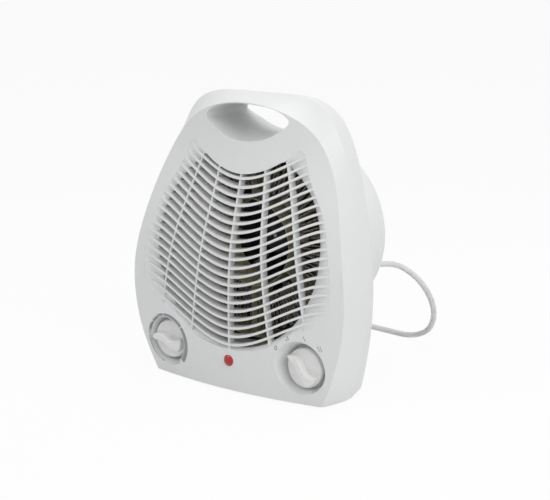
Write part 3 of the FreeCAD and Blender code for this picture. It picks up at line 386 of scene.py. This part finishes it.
# Mask for the painted cream reflection: 1 on vertices inside the dish edge, 0 elsewhere.
heat = front_cover.data.attributes.new("heat", "FLOAT", "POINT")
for vertex in front_cover.data.vertices:
    heat.data[vertex.index].value = 1.0 if on_dish(Vector((vertex.co.x, vertex.co.z))) else 0.0
for vertex in front_cover.data.vertices:
    place = vertex.co
    outward = math.hypot(place.x, place.z - axis_height) - outlet_radius
    if outward < -0.0001 or outward > tip_reach:
        continue
    depth = place.y + body_middle - face_depth(place.x, place.z)
    if not dish_depth - dish_band < depth < dish_depth + dish_band:
        continue
    spot = Vector((place.x, place.z))
    inward = edge_distance(spot)
    if inward > corner_room and not on_dish(spot):
        continue
    share = max(0.0, outward) / max(0.0001, max(0.0, outward) + inward)
    place.y -= (dish_depth - 0.0003) * min(1.0, share * 1.08) ** 0.9
front_cover.data.update()

# The recess of the thermostat knob is tighter at its rim than that of the switch knob, which leaves
# room for the printed scale round it.
knob_x = 0.0717
knob_z = 0.033
scale_rim = 0.0213
rim_inner = 0.0236
rim_outer = 0.0266
face_skin = 0.0012
for vertex in front_cover.data.vertices:
    place = vertex.co
    from_knob = Vector((place.x + knob_x, place.z - knob_z))
    if not rim_inner < from_knob.length < rim_outer:
        continue
    was = face_depth(place.x, place.z)
    if abs(place.y + body_middle - was) > face_skin:
        continue
    moved = from_knob * (scale_rim / from_knob.length)
    place.x = moved.x - knob_x
    place.z = moved.y + knob_z
    place.y += face_depth(place.x, place.z) - was
front_cover.data.update()
keep_shading(front_cover.data, front_faces)
keep_shading(rear_cover.data, rear_faces)

# ---------------------------------------------------------------------------
# Printed marks. Grey ink pad-printed on the face: a wedge that widens clockwise round the
# thermostat knob, and four signs for off, fan, half heat and full heat over the switch knob.
ink, tree, shader = new_finish("grey_ink", (0.26, 0.28, 0.29), 0.55)
speckle = grain(tree, 0.0008)
tint(tree, shader, speckle, (0.24, 0.265, 0.28), (0.30, 0.32, 0.335))
vary_roughness(tree, shader, speckle, 0.5, 0.62)
cover_mesh = bmesh.new()
cover_mesh.from_mesh(front_cover.data)
cover_tree = BVHTree.FromBMesh(cover_mesh)
cover_mesh.free()
ink_film = 0.00012


def printed(name, strips):
    """One piece of ink made of strips; a strip is its steps and a spot on the face for (0..1, 0..1)."""
    bm = bmesh.new()
    for steps, spot in strips:
        made = bmesh.ops.create_grid(bm, x_segments=steps, y_segments=2, size=0.5)
        for vertex in made["verts"]:
            x, z = spot(vertex.co.x + 0.5, vertex.co.y + 0.5)
            hit = cover_tree.ray_cast(Vector((x, -0.3, z)), Vector((0.0, 1.0, 0.0)))[0]
            vertex.co = Vector((x, hit.y - ink_film, z))
    bmesh.ops.recalc_face_normals(bm, faces=bm.faces)
    for face in bm.faces:
        if face.normal.y > 0.0:
            face.normal_flip()
    mesh = bpy.data.meshes.new(name)
    bm.to_mesh(mesh)
    bm.free()
    mesh.materials.append(ink)
    piece = bpy.data.objects.new(name, mesh)
    bpy.context.scene.collection.objects.link(piece)
    film = piece.modifiers.new("ink_film", "SOLIDIFY")
    film.thickness = ink_film
    film.offset = -1.0
    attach(piece, "heater")


wedge_start = 196.0
wedge_stop = 491.0
wedge_thin = 0.0004
wedge_swell = 0.0037
rim_margin = 0.0006


def wedge(start, stop):
    """Part of the ring round the thermostat knob between two clock angles in degrees."""
    def spot(along, across):
        clock = start + (stop - start) * along
        width = wedge_thin + wedge_swell * (clock - wedge_start) / (wedge_stop - wedge_start)
        reach = scale_rim + rim_margin + width * across
        turn = math.radians(clock)
        return -knob_x + reach * math.sin(turn), knob_z + reach * math.cos(turn)
    return 14, spot


wedge_ends = [wedge_start, 271.0, 273.0, 306.0, 308.5, 351.0, 353.5, 409.0, 411.5, wedge_stop]
wedge_parts = zip(wedge_ends[::2], wedge_ends[1::2])
printed("thermostat_scale", [wedge(start, stop) for start, stop in wedge_parts])


def loop_sign(x, z, wide, tall, line):
    """Oval ring."""
    def spot(along, across):
        turn = 2.0 * math.pi * along
        grow = line * (across - 0.5)
        return x + (wide + grow) * math.cos(turn), z + (tall + grow) * math.sin(turn)
    return 24, spot


def blade_sign(x, z, turn):
    """One curved blade of the fan sign."""
    def spot(along, across):
        reach = 0.0004 + 0.0019 * along
        swing = turn + 0.9 * along
        width = 0.0012 * math.sin(math.pi * min(0.97, along + 0.03)) * (across - 0.5)
        return (x + reach * math.cos(swing) - width * math.sin(swing),
                z + reach * math.sin(swing) + width * math.cos(swing))
    return 8, spot


wave_swing = 0.0008
wave_line = 0.0006
wave_tall = 0.0044


def wave_sign(x, z):
    """Upright wave for heat."""
    def spot(along, across):
        sway = wave_swing * math.sin(2.0 * math.pi * along)
        return x + sway + wave_line * (across - 0.5), z + wave_tall * (along - 0.5)
    return 14, spot


sign_reach = 0.0276
wave_apart = 0.0011
sign_places = []
for clock in (-56.0, -26.0, 8.5, 41.0):
    turn = math.radians(clock)
    sign_places.append((knob_x + sign_reach * math.sin(turn), knob_z + sign_reach * math.cos(turn)))
(off_x, off_z), (fan_x, fan_z), (half_x, half_z), (full_x, full_z) = sign_places
printed("off_sign", [loop_sign(off_x, off_z, 0.0011, 0.0017, 0.0006)])
printed("fan_sign", [blade_sign(fan_x, fan_z, math.radians(start)) for start in (90.0, 210.0, 330.0)])
printed("half_heat_sign", [wave_sign(half_x, half_z)])
printed("full_heat_sign", [wave_sign(full_x - wave_apart, full_z), wave_sign(full_x + wave_apart, full_z)])

# ---------------------------------------------------------------------------
# Knobs. White polypropylene discs with an S-shaped grip, moulded in one piece. Each is pushed on
# the flat of its spindle, and the sharp end of the grip is the pointer.
knob_plastic, tree, shader = new_finish("knob_polypropylene", (0.8, 0.8, 0.78), 0.3)
cloud = grain(tree, 0.01)
tint(tree, shader, cloud, (0.78, 0.785, 0.765), (0.81, 0.815, 0.80))
vary_roughness(tree, shader, cloud, 0.24, 0.34)
emboss(tree, shader, grain(tree, 0.0005, 2.0), 0.000015)
shader.inputs["Subsurface Weight"].default_value = 0.06
shader.inputs["Subsurface Radius"].default_value = (0.003, 0.003, 0.0026)
knob_radius = 0.017
knob_deep = 0.007
knob_front = -0.001 - body_middle
grip_rise = 0.0072
# Outline of the grip in millimetres, with its pointed end at minus X.
grip_line = [(-16.6, 0.6), (-14.2, 3.8), (-10.2, 5.8), (-5.4, 5.4), (-1.0, 3.2), (2.8, 1.0), (7.0, 0.4),
             (11.6, 1.6), (15.4, 3.6), (16.0, -1.4), (14.8, -5.6), (12.4, -8.9), (8.2, -8.6), (3.6, -7.2),
             (-0.8, -4.8), (-4.8, -2.6), (-9.4, -1.8), (-13.4, -1.3)]


def spin_profile(bm, profile, steps=64):
    """Turns (radius, height) points about Z into a closed solid."""
    chain = [bm.verts.new((reach, 0.0, level)) for reach, level in profile]
    edges = [bm.edges.new(pair) for pair in zip(chain, chain[1:])]
    bmesh.ops.spin(bm, geom=chain + edges, cent=(0.0, 0.0, 0.0), axis=(0.0, 0.0, 1.0),
                   angle=2.0 * math.pi, steps=steps, use_merge=True, use_duplicate=False)
    bmesh.ops.remove_doubles(bm, verts=bm.verts, dist=0.00001)
    bmesh.ops.recalc_face_normals(bm, faces=bm.faces)


def add_piece(name, bm, finish, place, body, material_slot, *nodes):
    """Moves a bmesh to its place and makes it a piece of the object."""
    bm.transform(place)
    bm.normal_update()
    mesh = bpy.data.meshes.new(name)
    bm.to_mesh(mesh)
    bm.free()
    mesh.materials.append(finish)
    mesh.shade_smooth()
    mesh.set_sharp_from_angle(angle=math.radians(35.0))
    piece = bpy.data.objects.new(name, mesh)
    bpy.context.scene.collection.objects.link(piece)
    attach(piece, body)
    if nodes:
        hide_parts(*nodes)


def facing_front(x, y, z, turn=0.0):
    """Place for a shape whose own Z points out of the front of the heater."""
    tipped = Matrix.Rotation(math.radians(90.0), 4, "X")
    return Matrix.Translation((x, y, z)) @ tipped @ Matrix.Rotation(math.radians(turn), 4, "Z")


def facing_back(x, y, z):
    """Place for a shape whose own Z points out of the back of the heater."""
    return Matrix.Translation((x, y, z)) @ Matrix.Rotation(math.radians(-90.0), 4, "X")


def knob(name, x, turn, body, node):
    """Knob with its grip turned by the given degrees."""
    bm = bmesh.new()
    spin_profile(bm, [(0.0, -knob_deep), (0.0162, -knob_deep), (0.0168, -0.0067), (knob_radius, -0.0061),
                      (knob_radius, -0.0016), (0.0168, -0.0008), (0.0163, -0.0002), (0.0156, 0.0),
                      (0.0, 0.0)])
    line = [bm.verts.new((px / 1000.0, pz / 1000.0, -0.0004)) for px, pz in grip_line]
    foot = bm.faces.new(line)
    risen = bmesh.ops.extrude_face_region(bm, geom=[foot])
    top_verts = [item for item in risen["geom"] if isinstance(item, bmesh.types.BMVert)]
    top = [item for item in risen["geom"] if isinstance(item, bmesh.types.BMFace)][0]
    bmesh.ops.translate(bm, verts=top_verts, vec=(0.0, 0.0, grip_rise))
    for vertex in top_verts:
        vertex.co.z -= 0.00003 * abs(vertex.co.x * 1000.0)
        vertex.co.x *= 0.99
        vertex.co.y *= 0.92
    bmesh.ops.bevel(bm, geom=list(top.edges), affect="EDGES", offset=0.0011, segments=4, profile=0.5,
                    material=-1)
    bmesh.ops.recalc_face_normals(bm, faces=bm.faces)
    add_piece(name, bm, knob_plastic, facing_front(x, knob_front, knob_z, turn), body, "knob_plastic", node)


knob("thermostat_dial", -knob_x, 0.0, "thermostat_control", "thermostat_knob")
knob("switch_dial", knob_x, -34.0, "switch_control", "switch_knob")

# ---------------------------------------------------------------------------
# Pilot lamp. A clear red acrylic lens, snapped into the face, over a small neon lamp.
red_acrylic, tree, shader = new_finish("red_acrylic", (0.5, 0.012, 0.01), 0.12)
cloud = grain(tree, 0.004)
tint(tree, shader, cloud, (0.42, 0.004, 0.003), (0.56, 0.008, 0.006))
vary_roughness(tree, shader, cloud, 0.08, 0.14)
shader.inputs["IOR"].default_value = 1.49
shader.inputs["Transmission Weight"].default_value = 0.15
shader.inputs["Coat Weight"].default_value = 0.25
shader.inputs["Coat Roughness"].default_value = 0.05
lens_front = -0.0106 - body_middle
lens_z = 0.0267 + foot_height
bm = bmesh.new()
spin_profile(bm, [(0.0, 0.0016), (0.0014, 0.00152), (0.0026, 0.00125), (0.0037, 0.0008), (0.0045, 0.00025),
                  (0.0049, -0.0002), (0.0049, -0.0006), (0.0040, -0.0006), (0.0040, -0.011), (0.0029, -0.011),
                  (0.0029, -0.001), (0.0, -0.001)], 48)
lens_place = facing_front(0.0, lens_front, lens_z)
add_piece("pilot_dome", bm, red_acrylic, lens_place, "heater", "red_lens", "pilot_lens")


def finish_nodes(finish, *names):
    """Gives CAD nodes a finish in place of their plain one."""
    for name in names:
        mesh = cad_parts[name].data
        mesh.materials.clear()
        mesh.materials.append(finish)


neon, tree, shader = new_finish("neon_tube", (0.85, 0.5, 0.4), 0.1)
tint(tree, shader, grain(tree, 0.002), (0.8, 0.42, 0.3), (0.9, 0.6, 0.5))
finish_nodes(neon, "neon_lamp")

# ---------------------------------------------------------------------------
# Air duct and motor spider. Tinned sheet steel, rolled and spot welded. The duct is painted near
# black: painted shade for the dark inside of the casing.
duct_steel, tree, shader = new_finish("duct_steel", (0.05, 0.05, 0.05), 0.5)
streak = grain(tree, 0.006, 4.0, (1.0, 0.15, 1.0))
# Near-black tints with streaks in the tone: painted shade, not the colour of tinned steel.
tint(tree, shader, streak, (0.012, 0.012, 0.013), (0.04, 0.038, 0.035))
vary_roughness(tree, shader, streak, 0.42, 0.6)
shader.inputs["Metallic"].default_value = 0.6
finish_nodes(duct_steel, "air_duct")


def plated(name, low, high, rough_low, rough_high, size=0.003, metal=1.0):
    """Metal with fine streaks in its tone and polish."""
    finish, tree, shader = new_finish(name, high, rough_high)
    streaks = grain(tree, size, 4.0, (1.0, 0.3, 1.0))
    tint(tree, shader, streaks, low, high)
    vary_roughness(tree, shader, streaks, rough_low, rough_high)
    emboss(tree, shader, grain(tree, size / 6.0, 2.0), 0.00001)
    shader.inputs["Metallic"].default_value = metal
    return finish


zinc = plated("zinc_plated_steel", (0.46, 0.46, 0.48), (0.62, 0.62, 0.63), 0.28, 0.42)
finish_nodes(zinc, "motor_spider", "motor_bracket_front", "motor_bracket_rear", "motor_bolts", "motor_nuts",
             "motor_spacers", "motor_shaft", "spider_screws", "casing_screws", "control_screws",
             "thermostat_bracket", "switch_bracket", "thermostat_spindle", "switch_spindle")

# ---------------------------------------------------------------------------
# Heater. Two folded strips of nickel-chrome alloy in the notches of six radial mica plates, held
# between two rolled mica rings. The mica is olive and flaky.


def laid_pattern(tree, kind, scale):
    """Texture node of the given kind, laid in the object's own space."""
    texture = tree.nodes.new(kind)
    texture.inputs["Scale"].default_value = scale
    place = tree.nodes.new("ShaderNodeTexCoord")
    tree.links.new(place.outputs["Object"], texture.inputs["Vector"])
    return texture


mica, tree, shader = new_finish("mica_board", (0.45, 0.43, 0.28), 0.4)
flakes = laid_pattern(tree, "ShaderNodeTexVoronoi", 420.0)
tint(tree, shader, flakes.outputs["Distance"], (0.84, 0.80, 0.58), (0.60, 0.56, 0.34), 0.1, 0.8)
vary_roughness(tree, shader, flakes.outputs["Distance"], 0.25, 0.5)
emboss(tree, shader, flakes.outputs["Distance"], 0.00006)
shader.inputs["Coat Weight"].default_value = 0.3
finish_nodes(mica, "mica_inner_ring", "mica_outer_ring")
finish_nodes(mica, *["mica_plate_%d" % number for number in range(1, 7)])
alloy = plated("heating_alloy", (0.10, 0.085, 0.07), (0.34, 0.31, 0.27), 0.32, 0.5, 0.002)
finish_nodes(alloy, "heating_wire_front", "heating_wire_rear")
bakelite, tree, shader = new_finish("black_phenolic", (0.03, 0.027, 0.025), 0.4)
cloud = grain(tree, 0.004)
tint(tree, shader, cloud, (0.02, 0.018, 0.017), (0.05, 0.044, 0.04))
vary_roughness(tree, shader, cloud, 0.35, 0.5)
finish_nodes(bakelite, "thermal_cutout", "rotary_switch_body", "terminal_block")
ceramic, tree, shader = new_finish("steatite_ceramic", (0.8, 0.78, 0.72), 0.55)
cloud = grain(tree, 0.002)
tint(tree, shader, cloud, (0.72, 0.70, 0.63), (0.84, 0.82, 0.76))
emboss(tree, shader, cloud, 0.00002)
finish_nodes(ceramic, "thermal_fuse", "thermostat_block")
brass = plated("brass", (0.62, 0.46, 0.2), (0.8, 0.63, 0.32), 0.2, 0.32)
finish_nodes(brass, "bimetal_arm", "plug_pin_left", "plug_pin_right")

# ---------------------------------------------------------------------------
# Fan and motor. A stamped aluminium impeller on the shaft of a shaded-pole motor: laminated stack,
# enamelled copper winding, die-cast rotor, and bronze bushes in pressed steel brackets.
# The impeller is painted near black: painted shade inside the casing, not the colour of aluminium.
fan_metal = plated("fan_aluminium_painted_shade", (0.016, 0.016, 0.017), (0.05, 0.05, 0.052), 0.4, 0.55, 0.006, 0.5)
finish_nodes(fan_metal, "fan_impeller")
stack, tree, shader = new_finish("stack_laminations", (0.2, 0.2, 0.21), 0.45)
sheets = laid_pattern(tree, "ShaderNodeTexWave", 320.0)
sheets.bands_direction = "Y"
sheets.inputs["Distortion"].default_value = 0.3
tint(tree, shader, sheets.outputs["Fac"], (0.07, 0.07, 0.075), (0.26, 0.26, 0.27), 0.2, 0.8)
emboss(tree, shader, sheets.outputs["Fac"], 0.00008)
shader.inputs["Metallic"].default_value = 0.9
finish_nodes(stack, "stator_laminations", "motor_rotor")
winding, tree, shader = new_finish("enamelled_copper", (0.45, 0.17, 0.06), 0.3)
turns = laid_pattern(tree, "ShaderNodeTexWave", 450.0)
turns.bands_direction = "Z"
turns.inputs["Distortion"].default_value = 0.6
tint(tree, shader, turns.outputs["Fac"], (0.25, 0.08, 0.03), (0.60, 0.25, 0.10), 0.2, 0.8)
emboss(tree, shader, turns.outputs["Fac"], 0.0001)
shader.inputs["Metallic"].default_value = 0.8
finish_nodes(winding, "motor_coil")
bronze = plated("sintered_bronze", (0.45, 0.34, 0.17), (0.6, 0.48, 0.28), 0.4, 0.55, 0.001)
finish_nodes(bronze, "bearing_bush_front", "bearing_bush_rear")

# ---------------------------------------------------------------------------
# Feet. Soft dark rubber buttons pressed into holes in the base.
rubber, tree, shader = new_finish("foot_rubber", (0.04, 0.04, 0.04), 0.8)
cloud = grain(tree, 0.002)
tint(tree, shader, cloud, (0.03, 0.03, 0.03), (0.055, 0.055, 0.053))
vary_roughness(tree, shader, cloud, 0.7, 0.9)
emboss(tree, shader, grain(tree, 0.0004), 0.00003)
finish_nodes(rubber, *["rubber_foot_%d" % number for number in range(1, 5)])

# ---------------------------------------------------------------------------
# Cord bush and plug. Both are soft grey PVC moulded on the lead. The bush is clamped in the drum
# and tapers with ring grooves; the plug has a waist for the fingers and two brass pins.
moulding, tree, shader = new_finish("moulded_pvc", (0.66, 0.66, 0.65), 0.5)
cloud = grain(tree, 0.006)
tint(tree, shader, cloud, (0.64, 0.64, 0.63), (0.70, 0.70, 0.69))
vary_roughness(tree, shader, cloud, 0.42, 0.56)
emboss(tree, shader, grain(tree, 0.0006, 2.0), 0.00003)
bush_length = 0.017
groove_deep = 0.0009
bush_profile = [(lead_radius, -0.026), (0.0052, -0.026), (0.0052, 0.0), (0.0074, 0.0), (0.0074, 0.0016),
                (0.0070, 0.0020), (0.0062, 0.0030)]
for groove in range(4):
    level = 0.0042 + groove * 0.0030
    reach = 0.0062 - (level - 0.003) * (0.0026 / 0.014)
    bush_profile += [(reach, level), (reach - groove_deep, level + 0.0004),
                     (reach - groove_deep, level + 0.0011), (reach - 0.0001, level + 0.0015)]
bush_profile += [(lead_radius + 0.0010, bush_length - 0.0006), (lead_radius + 0.0006, bush_length),
                 (lead_radius, bush_length)]
bm = bmesh.new()
chain = [bm.verts.new((reach, 0.0, level)) for reach, level in bush_profile]
edges = [bm.edges.new(pair) for pair in zip(chain, chain[1:] + chain[:1])]
bmesh.ops.spin(bm, geom=chain + edges, cent=(0.0, 0.0, 0.0), axis=(0.0, 0.0, 1.0), angle=2.0 * math.pi,
               steps=40, use_merge=True, use_duplicate=False)
bmesh.ops.recalc_face_normals(bm, faces=bm.faces)
drum_back = 0.125 - body_middle
bush_place = facing_back(lead_points[0].x, drum_back, lead_points[0].z)
add_piece("lead_bush", bm, moulding, bush_place, "heater", "cord_grey", "cord_relief")
plug_low, plug_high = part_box("mains_plug")
plug_middle = (plug_low + plug_high) / 2.0
plug_side = (plug_high.y - plug_low.y) / 2.0
plug_tall = (plug_high.z - plug_low.z) / 2.0
# Distance from the pin face, then shares of the plug's half width and half height.
plug_rings = [(0.0, 1.0, 1.0), (0.004, 1.0, 1.0), (0.013, 0.86, 0.84), (0.022, 0.90, 0.88),
              (0.030, 0.97, 0.94), (0.0345, 0.84, 0.78), (0.038, 0.55, 0.52), (0.0425, 0.32, 0.44),
              (0.0470, 0.20, 0.30)]
squareness = (0.72, 0.86)
bm = bmesh.new()
hoops = []
for reach, wide, tall in plug_rings:
    hoop = bmesh.ops.create_circle(bm, cap_ends=False, segments=40, radius=1.0)["verts"]
    for vertex in hoop:
        across = math.copysign(abs(vertex.co.x) ** squareness[0], vertex.co.x)
        upright = math.copysign(abs(vertex.co.y) ** squareness[1], vertex.co.y)
        vertex.co = Vector((plug_low.x + reach, plug_middle.y + across * plug_side * wide,
                            plug_middle.z + upright * plug_tall * tall))
    hoops.append(hoop)
for first, second in zip(hoops, hoops[1:]):
    edges = [edge for ring in (first, second) for vertex in ring for edge in vertex.link_edges
             if edge.other_vert(vertex) in ring]
    bmesh.ops.bridge_loops(bm, edges=list(set(edges)))
bmesh.ops.holes_fill(bm, edges=bm.edges, sides=0)
bmesh.ops.remove_doubles(bm, verts=bm.verts, dist=0.00001)
bmesh.ops.recalc_face_normals(bm, faces=bm.faces)
rims = [edge for edge in bm.edges if edge.is_manifold and edge.calc_face_angle() > math.radians(60.0)]
bmesh.ops.bevel(bm, geom=rims, affect="EDGES", offset=0.0012, segments=3, profile=0.5, material=-1)
add_piece("plug_body", bm, moulding, Matrix.Identity(4), "heater", "cord_grey", "mains_plug")
